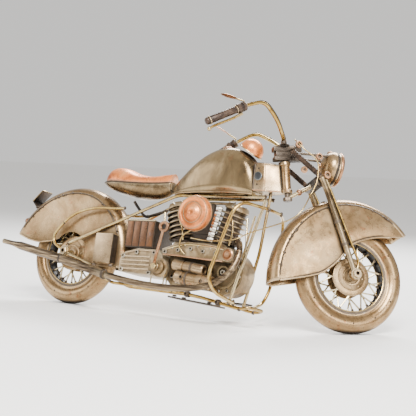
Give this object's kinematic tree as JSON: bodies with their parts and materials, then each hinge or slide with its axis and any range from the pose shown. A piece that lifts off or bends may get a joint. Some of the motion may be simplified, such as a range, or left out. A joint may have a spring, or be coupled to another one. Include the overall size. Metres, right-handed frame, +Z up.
{
  "type": "toy motorcycle",
  "caption": "Handmade tin display motorcycle with spoked wheels, a V engine, flowing fenders, a side stand and turned bars; it steers and rolls.",
  "frame": {"origin": "centre of the bottom of the bounding box, on the surface the wheels and stand rest on", "axes": "+X towards the front wheel, +Y to the rider's left, +Z up"},
  "size_m": [0.407, 0.168, 0.2133],
  "materials": {
    "bronze_sheet": "antique bronze wash over tinplate, rubbed lighter on edges, dark weld beads in the seams",
    "brass_rod": "bright pale brass wire and rod, darker in the bends",
    "copper": "satin copper with pale rubbed highlights",
    "olive_bronze": "glossy olive-brown patina with faint red spots",
    "dark_iron": "near-black oxidised iron",
    "steel": "warm grey brushed steel, dark below",
    "cast_alloy": "cream-bronze cast alloy with dark recesses"
  },
  "bodies": {
    "frame": {"air_cleaner": "copper", "control_cable": "brass_rod", "crankcase": "cast_alloy", "crash_bar": "brass_rod", "dash_cover": "copper", "downtube_left": "brass_rod", "downtube_right": "brass_rod", "exhaust_pipe": "steel", "fender_hoop_left": "brass_rod", "fender_hoop_right": "brass_rod", "footboard": "dark_iron", "front_cylinder": "cast_alloy", "gearbox": "cast_alloy", "head_tube": "bronze_sheet", "lower_cradle": "brass_rod", "muffler": "bronze_sheet", "neck_cover": "bronze_sheet", "oil_tank": "dark_iron", "plate_holder": "dark_iron", "pushrod_stack": "steel", "rear_axle": "dark_iron", "rear_cylinder": "cast_alloy", "rear_fender_crown": "bronze_sheet", "rear_fender_side_left": "bronze_sheet", "rear_fender_side_right": "bronze_sheet", "seat_pan": "dark_iron", "seat_post": "dark_iron", "seat_top": "copper", "side_barrel": "cast_alloy", "tail_lamp": "copper", "tank": "olive_bronze", "timing_cover": "cast_alloy", "tool_box": "bronze_sheet", "upper_rail_left": "brass_rod", "upper_rail_right": "brass_rod"},
    "rear_wheel": {"rear_tyre": "bronze_sheet", "rear_rim": "dark_iron", "rear_hub": "bronze_sheet"},
    "fork": {"fork_leg_left": "steel", "fork_leg_right": "steel", "fork_yoke": "dark_iron", "front_axle": "dark_iron", "front_fender_crown": "bronze_sheet", "front_fender_side_left": "bronze_sheet", "front_fender_side_right": "bronze_sheet", "grip_left": "dark_iron", "grip_right": "dark_iron", "handlebar": "brass_rod", "headlight_rim": "copper", "headlight_shell": "bronze_sheet", "mirror_left": "copper", "mirror_right": "copper", "top_clamp": "dark_iron"},
    "front_wheel": {"front_tyre": "bronze_sheet", "front_rim": "dark_iron", "front_hub": "bronze_sheet"},
    "brake_lever": {"brake_lever": "brass_rod"},
    "clutch_lever": {"clutch_lever": "brass_rod"},
    "kick_lever": {"kick_lever": "copper"},
    "side_stand": {"side_stand": "brass_rod"}
  },
  "joints": [
    {"name": "rear_wheel_spin", "type": "hinge", "parent": "frame", "child": "rear_wheel", "pos_m": [-0.12525, -0.01405, 0.05073], "axis": [0, 0.9763, -0.2164], "continuous": true},
    {"name": "steering", "type": "hinge", "parent": "frame", "child": "fork", "pos_m": [0.1283, -0.01433, 0.04944], "axis": [-0.2397, 0.2101, 0.9478], "range_deg": [-60, 3], "deforming": ["control_cable"]},
    {"name": "front_wheel_spin", "type": "hinge", "parent": "fork", "child": "front_wheel", "pos_m": [0.16425, 0.02569, 0.04965], "axis": [-0.7042, 0.6344, -0.3187], "continuous": true},
    {"name": "brake_lever_squeeze", "type": "hinge", "parent": "fork", "child": "brake_lever", "pos_m": [0.08891, -0.05142, 0.19583], "axis": [0.5937, -0.5747, 0.5633], "range_deg": [-2, 8]},
    {"name": "clutch_lever_squeeze", "type": "hinge", "parent": "fork", "child": "clutch_lever", "pos_m": [0.03061, 0.03538, 0.16498], "axis": [0.6597, -0.5578, -0.5036], "range_deg": [-2, 8]},
    {"name": "kick_lever_swing", "type": "hinge", "parent": "frame", "child": "kick_lever", "pos_m": [-0.00338, -0.04718, 0.0505], "axis": [0, -0.9763, 0.2164], "range_deg": [0, 75]},
    {"name": "side_stand_fold", "type": "hinge", "parent": "frame", "child": "side_stand", "pos_m": [-0.12519, 0.01209, 0.0434], "axis": [-0.0066, -0.8565, -0.5162], "range_deg": [0, 105]}
  ]
}
